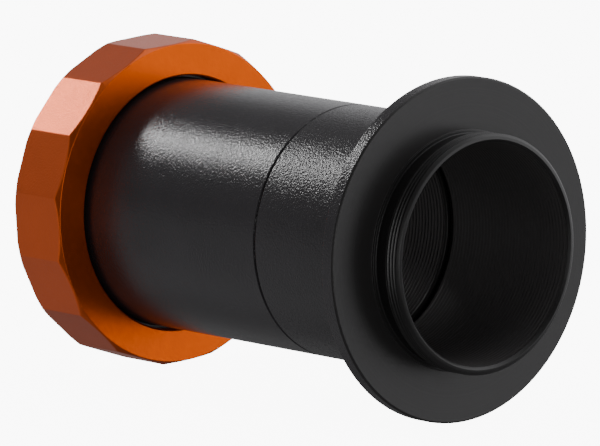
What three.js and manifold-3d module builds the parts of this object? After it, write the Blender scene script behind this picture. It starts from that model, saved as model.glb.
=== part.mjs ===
import * as THREE from 'three';
import { mergeVertices } from 'three/addons/utils/BufferGeometryUtils.js';
import Module from 'manifold-3d';

// Camera T-adapter for a Schmidt-Cassegrain telescope. All sizes are in millimetres.
// The optical axis is +X, from the telescope towards the camera, and +Z is up.
// The origin is on the optical axis, half-way along the adapter.
//
// Three turned pieces: a long barrel with a rear collar, a front section that screws onto
// the barrel and carries the camera's T-thread, and a sixteen-sided coupling ring that is
// captive on the barrel between the collar and the front section's flange.

const SIDES = 64; // facets round a turned surface
const RING_SIDES = 96; // facets round the ring's turned surfaces, a multiple of its flats
const GAP = 0.3; // clearance where two pieces meet

// Stations along the optical axis
const OVERALL_LENGTH = 92;
const NOSE_LENGTH = 6.5; // T-thread nose in front of the camera shoulder
const SEAT_TO_SHOULDER = 78.35; // telescope seat to camera shoulder: 133.35 - 55
const FRONT_SECTION_LENGTH = 28.8; // camera shoulder back to the seam
const NOSE_TIP = OVERALL_LENGTH / 2;
const SHOULDER = NOSE_TIP - NOSE_LENGTH;
const SEAT = SHOULDER - SEAT_TO_SHOULDER;
const SEAM = SHOULDER - FRONT_SECTION_LENGTH;

// Tube, shared by the barrel and the front section
const TUBE_RADIUS = 22.4;
const BORE_RADIUS = 19.7;
const EDGE_BREAK = 0.3; // small chamfer on a turned edge
const MOUTH_CHAMFER = 0.45; // chamfer where light enters or leaves the bore

// Threaded joint between barrel and front section, M42 x 0.75
const JOINT_RADIUS = 21;
const SPIGOT_LENGTH = 4;
const SOCKET_DEPTH = SPIGOT_LENGTH + GAP;
const STEP_RADIUS = 20.4; // shallow step in the bore, just in front of the socket
const STEP_END = 5.8; // from the seam

// Barrel's rear collar, which the coupling ring pulls against the telescope
const COLLAR_RADIUS = 24.5;
const COLLAR_THICKNESS = 2.5;

// Front section's flange and T-thread, M42 x 0.75
const FLANGE_RADIUS = 30.2;
const FLANGE_THICKNESS = 2.7;
const FLANGE_FILLET = 0.6;
const BOSS_RADIUS = 21.05;
const BOSS_HEIGHT = 0.4;
const RELIEF_RADIUS = 20.45;
const RELIEF_WIDTH = 2.5;
const THREAD_CREST_RADIUS = 21;
const THREAD_ROOT_RADIUS = 20.54;
const THREAD_PITCH = 0.75;
const THREAD_TURNS = 4;

// Coupling ring, 2 inch by 24 threads per inch inside
const RING_WIDTH = 12.15;
const RING_FLATS = 16;
const RING_FLAT_RADIUS = 28.9; // half the width across flats
const RING_FACE_RADIUS = 28.72; // outer edge of the front face
const RING_REAR_RADIUS = 29.1; // the rear face is only broken at the corners between flats
const RING_CHAMFER_ANGLE = THREE.MathUtils.degToRad(36); // from the optical axis
const RING_HOLE_RADIUS = 22.95;
const RING_HOLE_CHAMFER = 0.3;
const RING_WALL = 2.2; // front wall that bears on the collar
const RING_THREAD_RADIUS = 24.83; // crests of the internal thread
const RING_RELIEF_RADIUS = 25.6;
const RING_RELIEF_WIDTH = 1.2;
const RING_MOUTH_CHAMFER = 0.7;
const RING_TURN = THREE.MathUtils.degToRad(4.2); // how the loose ring lies at rest
const RING_REAR = -NOSE_TIP;
const RING_FRONT = RING_REAR + RING_WIDTH;

const wasm = await Module();
wasm.setup();

// One closed geometry with each vertex stored once.
function weld(geometry) {
  geometry.deleteAttribute('normal');
  geometry.deleteAttribute('uv');
  return mergeVertices(geometry, 1e-4);
}

// A turned piece: the profile is a closed list of [station, radius] pairs, with its outside
// running forwards and its bore running back.
function turned(profile, sides = SIDES) {
  const outline = [...profile, profile[0]].map(([x, r]) => new THREE.Vector2(r, x));
  const geometry = new THREE.LatheGeometry(outline, sides);
  geometry.rotateZ(-Math.PI / 2);
  return weld(geometry);
}

function toManifold(geometry) {
  const mesh = new wasm.Mesh({
    numProp: 3,
    vertProperties: new Float32Array(geometry.attributes.position.array),
    triVerts: new Uint32Array(geometry.index.array),
  });
  return new wasm.Manifold(mesh);
}

function fromManifold(manifold) {
  const { vertProperties, triVerts } = manifold.getMesh();
  const geometry = new THREE.BufferGeometry();
  geometry.setAttribute('position', new THREE.BufferAttribute(vertProperties, 3));
  geometry.setIndex(new THREE.BufferAttribute(triVerts, 1));
  return geometry;
}

// Barrel: rear collar, plain tube, and a spigot that screws into the front section.
function barrelGeometry() {
  const seamFace = SEAM - GAP / 2;
  const spigotRadius = JOINT_RADIUS - GAP / 2;
  return turned([
    [SEAT, BORE_RADIUS + MOUTH_CHAMFER],
    [SEAT, COLLAR_RADIUS - EDGE_BREAK],
    [SEAT + EDGE_BREAK, COLLAR_RADIUS],
    [SEAT + COLLAR_THICKNESS - EDGE_BREAK, COLLAR_RADIUS],
    [SEAT + COLLAR_THICKNESS, COLLAR_RADIUS - EDGE_BREAK],
    [SEAT + COLLAR_THICKNESS, TUBE_RADIUS],
    [seamFace - EDGE_BREAK, TUBE_RADIUS],
    [seamFace, TUBE_RADIUS - EDGE_BREAK],
    [seamFace, spigotRadius],
    [SEAM + SPIGOT_LENGTH - EDGE_BREAK, spigotRadius],
    [SEAM + SPIGOT_LENGTH, spigotRadius - EDGE_BREAK],
    [SEAM + SPIGOT_LENGTH, BORE_RADIUS + EDGE_BREAK],
    [SEAM + SPIGOT_LENGTH - EDGE_BREAK, BORE_RADIUS],
    [SEAT + MOUTH_CHAMFER, BORE_RADIUS],
  ]);
}

// The T-thread's outline: one crest each turn, from the relief to the nose's tip.
function threadProfile() {
  const start = SHOULDER + BOSS_HEIGHT + RELIEF_WIDTH;
  const points = [];
  for (let turn = 0; turn < THREAD_TURNS; turn += 1) {
    const root = start + turn * THREAD_PITCH;
    points.push([root, THREAD_ROOT_RADIUS]);
    points.push([root + THREAD_PITCH * 0.45, THREAD_CREST_RADIUS]);
    points.push([root + THREAD_PITCH * 0.55, THREAD_CREST_RADIUS]);
  }
  points.push([start + THREAD_TURNS * THREAD_PITCH, THREAD_ROOT_RADIUS]);
  return points;
}

// Front section: socket for the barrel, tube, flange, and T-thread nose.
function frontSectionGeometry() {
  const seamFace = SEAM + GAP / 2;
  const socketRadius = JOINT_RADIUS + GAP / 2;
  const flangeBack = SHOULDER - FLANGE_THICKNESS;
  return turned([
    [seamFace, socketRadius],
    [seamFace, TUBE_RADIUS - EDGE_BREAK],
    [seamFace + EDGE_BREAK, TUBE_RADIUS],
    [flangeBack - FLANGE_FILLET, TUBE_RADIUS],
    [flangeBack, TUBE_RADIUS + FLANGE_FILLET],
    [flangeBack, FLANGE_RADIUS - EDGE_BREAK],
    [flangeBack + EDGE_BREAK, FLANGE_RADIUS],
    [SHOULDER - EDGE_BREAK, FLANGE_RADIUS],
    [SHOULDER, FLANGE_RADIUS - EDGE_BREAK],
    [SHOULDER, BOSS_RADIUS],
    [SHOULDER + BOSS_HEIGHT, BOSS_RADIUS],
    [SHOULDER + BOSS_HEIGHT, RELIEF_RADIUS],
    [SHOULDER + BOSS_HEIGHT + RELIEF_WIDTH, RELIEF_RADIUS],
    ...threadProfile(),
    [NOSE_TIP, THREAD_ROOT_RADIUS],
    [NOSE_TIP, BORE_RADIUS + MOUTH_CHAMFER],
    [NOSE_TIP - MOUTH_CHAMFER, BORE_RADIUS],
    [SEAM + STEP_END, BORE_RADIUS],
    [SEAM + STEP_END, STEP_RADIUS],
    [SEAM + SOCKET_DEPTH, STEP_RADIUS],
    [SEAM + SOCKET_DEPTH, socketRadius],
  ]);
}

// Coupling ring: a turned ring with a front wall, cut to sixteen flats. The front chamfer is
// a cone, so it runs wider at the corners between the flats, and the rear one is so slight
// that it only breaks those corners.
function couplingRingGeometry() {
  const cornerRadius = RING_FLAT_RADIUS / Math.cos(Math.PI / RING_FLATS);
  const blankRadius = cornerRadius + GAP;
  const chamferLength = (blankRadius - RING_FACE_RADIUS) / Math.tan(RING_CHAMFER_ANGLE);
  const rearBreakLength = (blankRadius - RING_REAR_RADIUS) / Math.tan(RING_CHAMFER_ANGLE);
  const wallBack = RING_FRONT - RING_WALL;
  const blank = turned([
    [RING_REAR, RING_THREAD_RADIUS + RING_MOUTH_CHAMFER],
    [RING_REAR, RING_REAR_RADIUS],
    [RING_REAR + rearBreakLength, blankRadius],
    [RING_FRONT - chamferLength, blankRadius],
    [RING_FRONT, RING_FACE_RADIUS],
    [RING_FRONT, RING_HOLE_RADIUS + RING_HOLE_CHAMFER],
    [RING_FRONT - RING_HOLE_CHAMFER, RING_HOLE_RADIUS],
    [wallBack, RING_HOLE_RADIUS],
    [wallBack, RING_RELIEF_RADIUS],
    [wallBack - RING_RELIEF_WIDTH, RING_RELIEF_RADIUS],
    [wallBack - RING_RELIEF_WIDTH, RING_THREAD_RADIUS],
    [RING_REAR + RING_MOUTH_CHAMFER, RING_THREAD_RADIUS],
  ], RING_SIDES);
  const halfFlat = Math.PI / RING_FLATS;
  const prism = new THREE.CylinderGeometry(
    cornerRadius, cornerRadius, OVERALL_LENGTH + RING_WIDTH, RING_FLATS, 1, false, halfFlat,
  );
  prism.rotateZ(-Math.PI / 2);
  return fromManifold(toManifold(blank).intersect(toManifold(weld(prism))));
}

function piece(name, geometry, color, roughness) {
  const material = new THREE.MeshStandardMaterial({
    color, roughness, metalness: 0.9, flatShading: true,
  });
  const mesh = new THREE.Mesh(geometry, material);
  mesh.name = name;
  return mesh;
}

const adapter = new THREE.Group();
adapter.name = 'camera_t_adapter';

const barrel = piece('barrel', barrelGeometry(), 0x232325, 0.45);
const frontSection = piece('front_section', frontSectionGeometry(), 0x262628, 0.5);
const couplingRing = piece('coupling_ring', couplingRingGeometry(), 0xd9650f, 0.35);
couplingRing.rotation.x = RING_TURN;

adapter.add(barrel, frontSection, couplingRing);

export default adapter;
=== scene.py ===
"""Looks for a camera T-adapter: a black tube in two sections and an orange coupling ring.

Lengths are in metres. The optical axis is +X, from the telescope towards the camera.
"""

import math

import bmesh
import bpy
import numpy as np
from mathutils import Matrix, Vector


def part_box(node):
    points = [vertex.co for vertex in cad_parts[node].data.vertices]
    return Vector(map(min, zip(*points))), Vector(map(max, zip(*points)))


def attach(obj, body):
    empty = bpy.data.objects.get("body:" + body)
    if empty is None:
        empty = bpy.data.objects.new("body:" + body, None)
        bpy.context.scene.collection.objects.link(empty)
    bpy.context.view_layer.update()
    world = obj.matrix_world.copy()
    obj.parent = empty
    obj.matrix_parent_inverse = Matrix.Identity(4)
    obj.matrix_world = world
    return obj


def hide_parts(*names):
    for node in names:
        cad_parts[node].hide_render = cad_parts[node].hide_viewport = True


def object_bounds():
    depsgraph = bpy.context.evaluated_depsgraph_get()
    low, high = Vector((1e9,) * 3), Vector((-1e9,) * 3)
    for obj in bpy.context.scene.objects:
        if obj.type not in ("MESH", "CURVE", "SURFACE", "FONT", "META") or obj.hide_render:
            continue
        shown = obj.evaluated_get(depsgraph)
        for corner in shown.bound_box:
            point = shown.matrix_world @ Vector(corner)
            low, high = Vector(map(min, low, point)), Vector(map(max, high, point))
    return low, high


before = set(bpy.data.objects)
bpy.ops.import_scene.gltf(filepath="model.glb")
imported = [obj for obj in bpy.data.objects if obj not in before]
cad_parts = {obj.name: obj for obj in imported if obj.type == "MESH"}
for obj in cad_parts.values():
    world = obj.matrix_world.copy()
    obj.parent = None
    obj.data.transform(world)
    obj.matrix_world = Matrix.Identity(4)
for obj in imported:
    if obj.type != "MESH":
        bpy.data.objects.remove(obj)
cad_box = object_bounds()

MM = 0.001
ARC_STEPS = 4               # facets round a broken edge
TUBE_SIDES = 192            # columns round the barrel and the front section
SHARP_ANGLE = math.radians(32)

# Stations and radii read from the frame
BARREL_LOW, BARREL_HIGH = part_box("barrel")
FRONT_LOW, FRONT_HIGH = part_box("front_section")
RING_LOW, RING_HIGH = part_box("coupling_ring")
SEAT = BARREL_LOW[0]
SPIGOT_TIP = BARREL_HIGH[0]
COLLAR_RADIUS = BARREL_HIGH[2]
NOSE_TIP = FRONT_HIGH[0]
FLANGE_RADIUS = FRONT_HIGH[2]
RING_REAR = RING_LOW[0]
RING_FRONT = RING_HIGH[0]

# Tube, collar, flange and nose
TUBE_RADIUS = 22.4 * MM
COLLAR_THICKNESS = 2.5 * MM
FLANGE_THICKNESS = 2.7 * MM
NOSE_LENGTH = 6.5 * MM
SHOULDER = NOSE_TIP - NOSE_LENGTH
BOSS_RADIUS = 21.05 * MM
BOSS_HEIGHT = 0.4 * MM
RELIEF_RADIUS = 20.4 * MM   # between the boss and the T-thread
RELIEF_WIDTH = 2.5 * MM

# Seam between the barrel and the front section, and the joint inside it
SPIGOT_LENGTH = 4.0 * MM
SEAM = SPIGOT_TIP - SPIGOT_LENGTH
SEAM_GAP = 0.12 * MM
SEAM_LIP = 0.30 * MM        # length of the slope on each side of the gap
SEAM_LIP_DEPTH = 0.25 * MM
SOCKET_CLEARANCE = 0.05 * MM
SOCKET_PLAY = 0.3 * MM      # beyond the spigot's tip
STEP_END = 5.8 * MM         # shallow step in the bore, from the seam
STEP_RADIUS = 20.4 * MM

# T-thread, on the nose and in the joint
T_PITCH = 0.75 * MM
T_DEPTH = 0.44 * MM
T_CREST = 21.0 * MM

# Bore with its light-trap ridges
BORE_RADIUS = 19.55 * MM
MOUTH_CHAMFER = 0.45 * MM
RIDGE_PITCH = 0.8 * MM
RIDGE_RUN_IN = 0.5 * MM
BARREL_RIDGE_DEPTH = 0.22 * MM
FRONT_RIDGE_DEPTH = 0.12 * MM

# Coupling ring
RING_FLATS = 16
RING_FLAT_RADIUS = 28.9 * MM
RING_FACE_RADIUS = 28.72 * MM
RING_REAR_RADIUS = 29.1 * MM
RING_REAR_BREAK = 0.12 * MM
RING_TURN = math.radians(4.2)
RING_CHAMFER_SLOPE = math.tan(math.radians(36))
RING_WALL = 2.2 * MM
RING_HOLE_RADIUS = 22.95 * MM
RING_HOLE_CHAMFER = 0.3 * MM
RING_RELIEF_RADIUS = 25.6 * MM
RING_RELIEF_WIDTH = 1.1 * MM
RING_RELIEF_SLOPE = 0.7 * MM
RING_MOUTH_CHAMFER = 0.7 * MM
RING_THREAD_RADIUS = 24.83 * MM
RING_THREAD_PITCH = 1.0583 * MM
RING_THREAD_DEPTH = 0.6 * MM
FLAT_STEPS = 10             # columns across a flat
CORNER_EASE = math.radians(0.3)

# One turn of each groove: (part of the pitch, part of the depth)
THREAD_FORM = ((0.0, 0.0), (0.14, 0.0), (0.5, 1.0), (0.64, 1.0))
RIDGE_FORM = ((0.0, 0.0), (0.16, 0.0), (0.58, 1.0))

BEAD_SIZE = 0.34 * MM       # dimples left by bead blasting


# ---------------------------------------------------------------- turned shapes

class Outline:
    """A closed turned outline: corners with broken edges, and bands cut with a helical groove.

    Corners run along the outside from rear to front, then back through the bore. A station
    or a radius is a number, or an array with a value for each column. A corner's skin is the
    material of the band from it to the next corner.
    """

    def __init__(self, angles):
        self.angles = np.asarray(angles, float)
        self.corners = []
        self.skin = None

    def to(self, x, r, edge=0.0):
        n = len(self.angles)
        point = np.stack([np.broadcast_to(x, n), np.broadcast_to(r, n)], axis=1).astype(float)
        self.corners.append({"at": point, "edge": edge, "skin": self.skin, "groove": None})

    def groove(self, pitch, depth, form, lead):
        """The band from the last corner to the next one is cut with a helical groove."""
        self.corners[-1]["groove"] = {"pitch": pitch, "depth": depth, "form": form, "lead": lead}

    def rows(self):
        """[(points of one row, skin of the band after it, that band's groove)]"""
        out = []
        count = len(self.corners)
        for i, corner in enumerate(self.corners):
            at, edge = corner["at"], corner["edge"]
            before = self.corners[i - 1]
            if edge <= 0:
                out.append((at, corner["skin"], corner["groove"]))
                continue
            back = before["at"] - at
            ahead = self.corners[(i + 1) % count]["at"] - at
            back = back / np.linalg.norm(back, axis=1, keepdims=True)
            ahead = ahead / np.linalg.norm(ahead, axis=1, keepdims=True)
            for step in range(ARC_STEPS + 1):
                t = step / ARC_STEPS
                point = at + back * (edge * (1 - t) ** 2) + ahead * (edge * t ** 2)
                last = step == ARC_STEPS
                out.append((point, corner["skin"], corner["groove"] if last else None))
        return out


def ring_points(angles, point):
    x, r = point[:, 0], point[:, 1]
    return np.stack([x, r * np.cos(angles), r * np.sin(angles)], axis=1)


def groove_points(angles, start, end, groove):
    """Grid of points for a helical groove between two rows."""
    x_a, x_b, r = start[0, 0], end[0, 0], start[0, 1]
    low, high = min(x_a, x_b), max(x_a, x_b)
    pitch, depth, form, lead = (groove[k] for k in ("pitch", "depth", "form", "lead"))
    turns = math.ceil((high - low) / pitch) + 2
    first = low - 2 * pitch
    closed = np.append(angles, angles[0] + 2 * math.pi)
    advance = pitch * (closed - angles[0]) / (2 * math.pi)
    rows = []
    for turn in range(turns + 1):
        for part, deep in form:
            x = np.clip(first + (turn + part) * pitch + advance, low, high)
            fade = np.clip(np.minimum(x - low, high - x) / lead, 0, 1)
            fade = fade * fade * (3 - 2 * fade)
            radius = r + depth * deep * fade
            rows.append(np.stack([x, radius * np.cos(closed), radius * np.sin(closed)], axis=1))
    return np.array(rows)


def turned_object(name, outline, skins):
    """Revolves an outline into one closed mesh object, with its skins as its materials."""
    angles = outline.angles
    n = len(angles)
    rows = outline.rows()
    points, faces, face_skins = [], [], []
    for point, _, _ in rows:
        points.append(ring_points(angles, point))
    base = len(rows) * n
    for i, (point, skin, groove) in enumerate(rows):
        j = (i + 1) % len(rows)
        if groove is None:
            for k in range(n):
                m = (k + 1) % n
                faces.append((i * n + k, j * n + k, j * n + m, i * n + m))
                face_skins.append(skins.index(skin))
            continue
        grid = groove_points(angles, point, rows[j][0], groove)
        points.append(grid.reshape(-1, 3))
        for a in range(len(grid) - 1):
            for k in range(n):
                corner = base + a * (n + 1) + k
                faces.append((corner, corner + n + 1, corner + n + 2, corner + 1))
                face_skins.append(skins.index(skin))
        base += len(grid) * (n + 1)
    mesh = bpy.data.meshes.new(name)
    mesh.from_pydata(np.concatenate(points).tolist(), [], faces)
    mesh.polygons.foreach_set("material_index", face_skins)
    clean(mesh)
    for skin in skins:
        mesh.materials.append(skin)
    obj = bpy.data.objects.new(name, mesh)
    bpy.context.scene.collection.objects.link(obj)
    weigh_normals(obj)
    return obj


def clean(mesh):
    """Merges the rows that meet, drops what they collapse, and turns the faces outwards."""
    bm = bmesh.new()
    bm.from_mesh(mesh)
    bmesh.ops.remove_doubles(bm, verts=bm.verts, dist=2e-7)
    bmesh.ops.dissolve_degenerate(bm, edges=bm.edges, dist=1e-8)
    bmesh.ops.recalc_face_normals(bm, faces=bm.faces)
    bm.to_mesh(mesh)
    bm.free()
    mesh.shade_smooth()
    mesh.set_sharp_from_angle(angle=SHARP_ANGLE)


def weigh_normals(obj):
    """Large faces keep their own shading beside a narrow broken edge."""
    modifier = obj.modifiers.new("weighted_normals", "WEIGHTED_NORMAL")
    modifier.keep_sharp = True
    modifier.weight = 60


# ---------------------------------------------------------------- materials

def new_material(name):
    material = bpy.data.materials.new(name)
    material.use_nodes = True
    tree = material.node_tree
    shader = tree.nodes["Principled BSDF"]
    return material, tree, shader


def node(tree, kind, inputs=None, **settings):
    made = tree.nodes.new(kind)
    for key, value in settings.items():
        setattr(made, key, value)
    for key, value in (inputs or {}).items():
        if isinstance(value, bpy.types.NodeSocket):
            tree.links.new(value, made.inputs[key])
        else:
            made.inputs[key].default_value = value
    return made


def grain(tree, size, detail=2.0):
    """Noise with features of the given size, the same all over the object."""
    place = node(tree, "ShaderNodeTexCoord").outputs["Object"]
    return node(tree, "ShaderNodeTexNoise", {
        "Vector": place, "Scale": 1 / size, "Detail": detail, "Roughness": 0.6,
    }).outputs["Fac"]


def spread(tree, value, low, high, from_low=0.3, from_high=0.7):
    return node(tree, "ShaderNodeMapRange", {
        "Value": value, "From Min": from_low, "From Max": from_high, "To Min": low, "To Max": high,
    }).outputs["Result"]


def tint(tree, factor, dark, light):
    mix = node(tree, "ShaderNodeMix", data_type="RGBA")
    tree.links.new(factor, mix.inputs["Factor"])
    mix.inputs["A"].default_value = (*dark, 1)
    mix.inputs["B"].default_value = (*light, 1)
    return mix.outputs["Result"]


def bump(tree, height, depth, under=None):
    inputs = {"Height": height, "Distance": depth, "Strength": 1.0}
    if under is not None:
        inputs["Normal"] = under
    return node(tree, "ShaderNodeBump", inputs).outputs["Normal"]


def blasted_black(name, roughness, grain_slope):
    """Black anodising over bead blasting: dull, with fine bright specks in its highlights."""
    material, tree, shader = new_material(name)
    beads = grain(tree, BEAD_SIZE, 1.0)
    patches = grain(tree, 9 * MM, 3.0)
    colour = tint(tree, spread(tree, patches, 0, 1), (0.027, 0.024, 0.027), (0.034, 0.030, 0.034))
    tree.links.new(colour, shader.inputs["Base Color"])
    rough = spread(tree, grain(tree, 3 * BEAD_SIZE), roughness - 0.03, roughness + 0.04)
    tree.links.new(rough, shader.inputs["Roughness"])
    tree.links.new(bump(tree, beads, BEAD_SIZE * grain_slope), shader.inputs["Normal"])
    shader.inputs["IOR"].default_value = 1.5
    return material


def turned_black(name, roughness, shade):
    """Black anodising over fine turning: faint concentric tool marks on a satin face. The shade sets the
    base colour: the thread copy is set darker as painted shade and the bore copy lighter as painted light.
    """
    material, tree, shader = new_material(name)
    place = node(tree, "ShaderNodeTexCoord").outputs["Object"]
    parts = node(tree, "ShaderNodeSeparateXYZ", {"Vector": place})
    flat = node(tree, "ShaderNodeCombineXYZ", {"Y": parts.outputs["Y"], "Z": parts.outputs["Z"]})
    radius = node(tree, "ShaderNodeVectorMath", {0: flat.outputs["Vector"]}, operation="LENGTH")
    marks = node(tree, "ShaderNodeTexNoise", {
        "W": radius.outputs["Value"], "Scale": 1 / (0.35 * MM), "Detail": 3.0, "Roughness": 0.7,
    }, noise_dimensions="1D").outputs["Fac"]
    fine = grain(tree, 0.3 * MM)
    dark = (0.9 * shade, 0.85 * shade, 0.85 * shade)
    light = (1.1 * shade, 1.04 * shade, 1.04 * shade)
    colour = tint(tree, spread(tree, marks, 0, 1), dark, light)
    tree.links.new(colour, shader.inputs["Base Color"])
    tree.links.new(spread(tree, fine, roughness - 0.05, roughness + 0.06), shader.inputs["Roughness"])
    relief = bump(tree, marks, 0.003 * MM)
    tree.links.new(bump(tree, fine, 0.006 * MM, relief), shader.inputs["Normal"])
    shader.inputs["IOR"].default_value = 1.5
    return material


def orange_anodised(name, red, grain_slope, clear_film):
    """Orange anodising over fine bead blasting: metal under a clear dyed film. The red sets the base
    colour; the flats copy is set darker as painted shade and the face copy lighter as painted light.
    """
    material, tree, shader = new_material(name)
    beads = grain(tree, BEAD_SIZE, 1.0)
    patches = grain(tree, 7 * MM, 3.0)
    dark = (0.97 * red, 0.136 * red, 0.0015)
    light = (1.03 * red, 0.146 * red, 0.0020)
    tree.links.new(tint(tree, spread(tree, patches, 0, 1), dark, light), shader.inputs["Base Color"])
    tree.links.new(spread(tree, beads, 0.36, 0.46), shader.inputs["Roughness"])
    tree.links.new(bump(tree, beads, BEAD_SIZE * grain_slope), shader.inputs["Normal"])
    shader.inputs["Metallic"].default_value = 1.0
    shader.inputs["Coat Weight"].default_value = clear_film
    shader.inputs["Coat Roughness"].default_value = 0.34
    shader.inputs["Coat IOR"].default_value = 1.5
    return material


BLACK_BARREL = blasted_black("black_blasted_barrel", 0.21, 0.19)
BLACK_FRONT = blasted_black("black_blasted_front", 0.25, 0.25)
BLACK_TURNED = turned_black("black_turned", 0.38, 0.024)
# Darker copy of the same black: painted shade on the collar, seam lip, spigot, boss and nose thread.
BLACK_THREAD_SHADED = turned_black("black_thread_painted_shade", 0.34, 0.014)
# Lighter copy of the same black: painted light that lifts the shade inside both bores, their ridges and
# the socket step.
BLACK_BORE_LIT = turned_black("black_bore_painted_light", 0.45, 0.080)
# Same dye in two copies: the grain and the clear film differ as the blasted flats and the turned face do,
# and the flats' darker base colour is painted shade.
ORANGE_FLATS = orange_anodised("orange_blasted_flats", 0.72, 0.10, 0.55)
# The face copy's lighter base colour is painted light, on the front face, the rear face and the inner
# thread alike.
ORANGE_FACE = orange_anodised("orange_turned_face", 0.92, 0.05, 0.0)


# ---------------------------------------------------------------- the three pieces

def even_angles(count):
    return np.arange(count) * (2 * math.pi / count)


def make_barrel():
    """Rear collar, grained tube, and the threaded spigot that the front section screws on."""
    face = SEAM - SEAM_GAP / 2
    thread_neck = T_CREST - 0.5 * MM
    o = Outline(even_angles(TUBE_SIDES))
    o.skin = BLACK_THREAD_SHADED
    o.to(SEAT, BORE_RADIUS + 0.5 * MM, 0.1 * MM)
    o.to(SEAT, COLLAR_RADIUS, 0.3 * MM)
    o.to(SEAT + COLLAR_THICKNESS, COLLAR_RADIUS, 0.3 * MM)
    o.skin = BLACK_BARREL
    o.to(SEAT + COLLAR_THICKNESS, TUBE_RADIUS, 0.2 * MM)
    o.to(SEAM - SEAM_LIP, TUBE_RADIUS, 0.06 * MM)
    o.skin = BLACK_THREAD_SHADED
    o.to(face, TUBE_RADIUS - SEAM_LIP_DEPTH, 0.04 * MM)
    o.to(face, thread_neck)
    o.to(SEAM + 0.5 * MM, thread_neck)
    o.to(SEAM + 0.8 * MM, T_CREST)
    o.groove(T_PITCH, -T_DEPTH, THREAD_FORM, 0.4 * MM)
    o.to(SPIGOT_TIP - 0.35 * MM, T_CREST)
    o.to(SPIGOT_TIP, T_CREST - 0.4 * MM, 0.05 * MM)
    o.to(SPIGOT_TIP, BORE_RADIUS + 0.25 * MM, 0.05 * MM)
    o.skin = BLACK_BORE_LIT
    o.to(SPIGOT_TIP - 0.35 * MM, BORE_RADIUS)
    o.groove(RIDGE_PITCH, BARREL_RIDGE_DEPTH, RIDGE_FORM, RIDGE_RUN_IN)
    o.to(SEAT + 1.0 * MM, BORE_RADIUS)
    return turned_object("barrel_body", o, [BLACK_BARREL, BLACK_THREAD_SHADED, BLACK_BORE_LIT])


def make_front_section():
    """Socket, grained tube, flange, T-thread nose and ridged bore."""
    face = SEAM + SEAM_GAP / 2
    flange_back = SHOULDER - FLANGE_THICKNESS
    flange_break = 0.28 * MM
    boss_face = SHOULDER + BOSS_HEIGHT
    relief_end = boss_face + RELIEF_WIDTH
    socket = T_CREST + SOCKET_CLEARANCE
    socket_end = SPIGOT_TIP + SOCKET_PLAY
    o = Outline(even_angles(TUBE_SIDES))
    o.skin = BLACK_TURNED
    o.to(face, socket + 0.2 * MM)
    o.to(face, TUBE_RADIUS - SEAM_LIP_DEPTH, 0.04 * MM)
    o.skin = BLACK_FRONT
    o.to(SEAM + SEAM_LIP, TUBE_RADIUS, 0.06 * MM)
    o.to(flange_back, TUBE_RADIUS, 0.7 * MM)
    o.to(flange_back, FLANGE_RADIUS, 0.25 * MM)
    o.skin = BLACK_TURNED
    o.to(SHOULDER - flange_break, FLANGE_RADIUS, 0.05 * MM)
    o.to(SHOULDER, FLANGE_RADIUS - flange_break, 0.08 * MM)
    o.to(SHOULDER, BOSS_RADIUS, 0.08 * MM)
    o.skin = BLACK_THREAD_SHADED
    o.to(boss_face, BOSS_RADIUS, 0.1 * MM)
    o.to(boss_face, RELIEF_RADIUS, 0.2 * MM)
    o.to(relief_end, RELIEF_RADIUS, 0.2 * MM)
    o.to(relief_end + 0.4 * MM, T_CREST, 0.05 * MM)
    o.groove(T_PITCH, -T_DEPTH, THREAD_FORM, 0.35 * MM)
    o.to(NOSE_TIP - 0.5 * MM, T_CREST, 0.05 * MM)
    o.to(NOSE_TIP - 0.1 * MM, T_CREST - 0.45 * MM, 0.06 * MM)
    o.to(NOSE_TIP, BORE_RADIUS + MOUTH_CHAMFER, 0.05 * MM)
    o.skin = BLACK_TURNED
    o.to(NOSE_TIP - MOUTH_CHAMFER, BORE_RADIUS)
    o.skin = BLACK_BORE_LIT
    o.to(NOSE_TIP - MOUTH_CHAMFER - 0.05 * MM, BORE_RADIUS)
    o.groove(RIDGE_PITCH, FRONT_RIDGE_DEPTH, RIDGE_FORM, RIDGE_RUN_IN)
    o.to(SEAM + STEP_END, BORE_RADIUS)
    o.to(SEAM + STEP_END, STEP_RADIUS, 0.1 * MM)
    o.to(socket_end, STEP_RADIUS)
    o.to(socket_end, socket + T_DEPTH / 2)
    return turned_object("front_section_body", o, [BLACK_FRONT, BLACK_TURNED, BLACK_THREAD_SHADED, BLACK_BORE_LIT])


def ring_outline():
    """Angle and radius of each column of the sixteen-sided outline with its corners eased."""
    side = 2 * math.pi / RING_FLATS
    angles, radii = [], []
    for flat in range(RING_FLATS):
        middle = RING_TURN + flat * side
        for step in range(FLAT_STEPS + 1):
            off = -side / 2 + CORNER_EASE + (side - 2 * CORNER_EASE) * step / FLAT_STEPS
            angles.append(middle + off)
            radii.append(RING_FLAT_RADIUS / math.cos(off))
        angles.append(middle + side / 2)
        radii.append(radii[-1] * (1 + 0.35 * CORNER_EASE * math.tan(side / 2)))
    return np.array(angles), np.array(radii)


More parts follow.
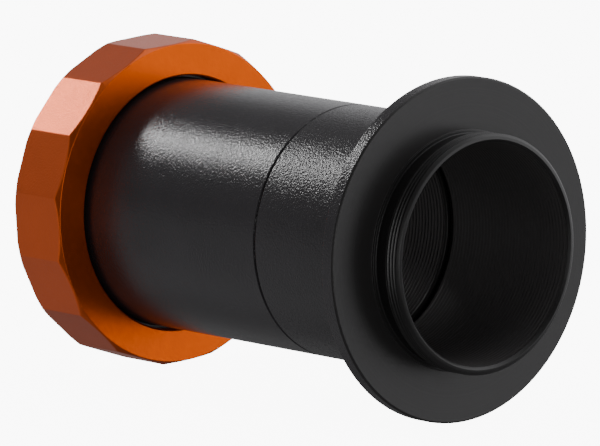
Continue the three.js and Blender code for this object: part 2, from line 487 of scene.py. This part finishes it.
def make_ring():
    """Sixteen flats with a conical front chamfer, a front wall, and an internal thread."""
    angles, radii = ring_outline()
    rear_radii = np.minimum(radii, RING_REAR_RADIUS)
    chamfer = (radii - RING_FACE_RADIUS) / RING_CHAMFER_SLOPE
    corner_break = (radii - rear_radii) / RING_CHAMFER_SLOPE
    wall_back = RING_FRONT - RING_WALL
    relief_back = wall_back - RING_RELIEF_WIDTH
    o = Outline(angles)
    o.skin = ORANGE_FACE
    o.to(RING_REAR, RING_THREAD_RADIUS + RING_MOUTH_CHAMFER, 0.08 * MM)
    o.to(RING_REAR, rear_radii - RING_REAR_BREAK)
    o.to(RING_REAR + RING_REAR_BREAK, rear_radii)
    o.skin = ORANGE_FLATS
    o.to(RING_REAR + RING_REAR_BREAK + 0.01 * MM + corner_break, radii)
    o.to(RING_FRONT - chamfer, radii, 0.25 * MM)
    o.skin = ORANGE_FACE
    o.to(RING_FRONT, RING_FACE_RADIUS, 0.08 * MM)
    o.to(RING_FRONT, RING_HOLE_RADIUS + RING_HOLE_CHAMFER, 0.05 * MM)
    o.to(RING_FRONT - RING_HOLE_CHAMFER, RING_HOLE_RADIUS, 0.05 * MM)
    o.to(wall_back, RING_HOLE_RADIUS, 0.1 * MM)
    o.to(wall_back, RING_RELIEF_RADIUS, 0.15 * MM)
    o.to(relief_back, RING_RELIEF_RADIUS, 0.1 * MM)
    o.to(relief_back - RING_RELIEF_SLOPE, RING_THREAD_RADIUS)
    o.groove(RING_THREAD_PITCH, RING_THREAD_DEPTH, THREAD_FORM, 0.5 * MM)
    o.to(RING_REAR + RING_MOUTH_CHAMFER, RING_THREAD_RADIUS)
    return turned_object("coupling_ring_body", o, [ORANGE_FLATS, ORANGE_FACE])


def place_pieces():
    barrel = make_barrel()
    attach(barrel, "barrel")
    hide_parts("barrel")
    front = make_front_section()
    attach(front, "front_section")
    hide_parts("front_section")
    ring = make_ring()
    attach(ring, "coupling_ring")
    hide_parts("coupling_ring")


# ---------------------------------------------------------------- floor, light and camera

VIEW_AZIMUTH = math.radians(48.06)
VIEW_ELEVATION = math.radians(8.85)
LENS = 480.0
SENSOR_WIDTH = 36.0
VIEW_DISTANCE = 1.4106
VIEW_RIGHT = -0.00152       # how far the aim lies from the frame's origin, across the view
VIEW_UP = 0.00023

# Brightness of the studio in each direction, and of the floor
STUDIO_ABOVE = 0.26
STUDIO_NEAR_FLOOR = 0.42
STUDIO_FAR_FLOOR = 0.12
STUDIO_BACKDROP = 0.52
STUDIO_SIDE_WALL = 1.40
STUDIO_CAMERA_SIDE = 0.05
FLOOR_GLOW = 9.0
FLOOR_REACH = 4.0           # from the middle to each side


def view_axes(azimuth, elevation):
    """Right, up and back of a camera that looks at the object from an azimuth and elevation."""
    back = Vector((
        math.sin(azimuth) * math.cos(elevation),
        -math.cos(azimuth) * math.cos(elevation),
        math.sin(elevation),
    ))
    right = Vector((math.cos(azimuth), math.sin(azimuth), 0))
    return right, back.cross(right), back


def facing(right, up, back, where):
    turn = Matrix((right, up, back)).transposed().to_4x4()
    return Matrix.Translation(where) @ turn


def make_camera():
    right, up, back = view_axes(VIEW_AZIMUTH, VIEW_ELEVATION)
    aim = right * VIEW_RIGHT + up * VIEW_UP
    data = bpy.data.cameras.new("camera")
    data.lens = LENS
    data.sensor_width = SENSOR_WIDTH
    data.clip_end = 20
    camera = bpy.data.objects.new("camera", data)
    bpy.context.scene.collection.objects.link(camera)
    camera.matrix_world = facing(right, up, back, aim + back * VIEW_DISTANCE)
    bpy.context.scene.camera = camera


def make_floor():
    """A white sweep. It glows for the camera and lights nothing: the studio does that."""
    material, tree, shader = new_material("pale_floor")
    colour = tint(tree, grain(tree, 0.15, 2.0), (0.80, 0.80, 0.80), (0.83, 0.83, 0.83))
    tree.links.new(colour, shader.inputs["Base Color"])
    shader.inputs["Roughness"].default_value = 0.9
    shader.inputs["Emission Color"].default_value = (1, 1, 1, 1)
    shader.inputs["Emission Strength"].default_value = FLOOR_GLOW
    mesh = bpy.data.meshes.new("floor")
    height = cad_box[0][2]
    corners = [(x * FLOOR_REACH, y * FLOOR_REACH, height) for x, y in ((-1, -1), (1, -1), (1, 1), (-1, 1))]
    mesh.from_pydata(corners, [], [(0, 1, 2, 3)])
    mesh.materials.append(material)
    floor = bpy.data.objects.new("floor", mesh)
    bpy.context.scene.collection.objects.link(floor)
    floor.visible_diffuse = False
    floor.visible_glossy = False
    floor.visible_shadow = False


def soft_box(name, direction, distance, width, height, brightness):
    """A softbox that shines on the object from a direction, as bright all over as it says."""
    away = Vector(direction).normalized()
    data = bpy.data.lights.new(name, "AREA")
    data.shape = "RECTANGLE"
    data.size, data.size_y = width, height
    data.energy = brightness * math.pi * width * height
    light = bpy.data.objects.new(name, data)
    bpy.context.scene.collection.objects.link(light)
    turn = away.to_track_quat("Z", "Y").to_matrix().to_4x4()
    light.matrix_world = Matrix.Translation(away * distance) @ turn
    light.visible_camera = False


def make_lights():
    soft_box("key_box", (-0.81, -0.20, 0.555), 0.9, 0.12, 0.22, 26.0)
    soft_box("front_box", (0.94, -0.32, -0.02), 1.6, 0.8, 0.8, 2.6)
    soft_box("edge_strip", (-0.22, -0.97, 0.0), 1.2, 0.16, 1.8, 1.0)
    soft_box("low_box", (-0.80, 0.14, -0.58), 0.18, 0.12, 0.10, 0.08)
    soft_box("top_box", (0.1, 0.2, 1.0), 1.6, 1.0, 1.0, 1.0)


def rise(tree, value, low, high):
    """From 0 to 1 as the value goes from low to high, with soft ends."""
    return node(tree, "ShaderNodeMapRange", {
        "Value": value, "From Min": low, "From Max": high,
    }, interpolation_type="SMOOTHSTEP").outputs["Result"]


def between(tree, factor, start, end):
    return node(tree, "ShaderNodeMix", {"Factor": factor, "A": start, "B": end}).outputs["Result"]


def make_world():
    """A grey studio: a pale floor on the near side, and a white backdrop behind the object."""
    world = bpy.data.worlds.new("studio")
    world.use_nodes = True
    tree = world.node_tree
    way = node(tree, "ShaderNodeTexCoord").outputs["Generated"]
    parts = node(tree, "ShaderNodeSeparateXYZ", {"Vector": way})
    floor = between(tree, rise(tree, parts.outputs["Y"], -0.28, 0.02), STUDIO_NEAR_FLOOR, STUDIO_FAR_FLOOR)
    room = between(tree, rise(tree, parts.outputs["Z"], -0.02, 0.02), floor, STUDIO_ABOVE)
    forward = between(tree, rise(tree, parts.outputs["X"], 0.0, 0.3), room, STUDIO_CAMERA_SIDE)
    room = between(tree, rise(tree, parts.outputs["Y"], -0.35, -0.05), forward, room)
    bright = between(tree, rise(tree, parts.outputs["X"], -0.3, 0.3), STUDIO_BACKDROP, STUDIO_SIDE_WALL)
    behind = rise(tree, parts.outputs["Y"], 0.40, 0.62)
    upright = rise(tree, parts.outputs["Z"], -0.34, -0.14)
    backdrop = node(tree, "ShaderNodeMath", {0: behind, 1: upright}, operation="MULTIPLY").outputs["Value"]
    total = node(tree, "ShaderNodeMath", {
        0: backdrop, 1: bright, 2: room,
    }, operation="MULTIPLY_ADD").outputs["Value"]
    background = tree.nodes["Background"]
    tree.links.new(total, background.inputs["Strength"])
    background.inputs["Color"].default_value = (0.98, 0.98, 1.0, 1)
    bpy.context.scene.world = world


place_pieces()
make_camera()
make_floor()
make_lights()
make_world()
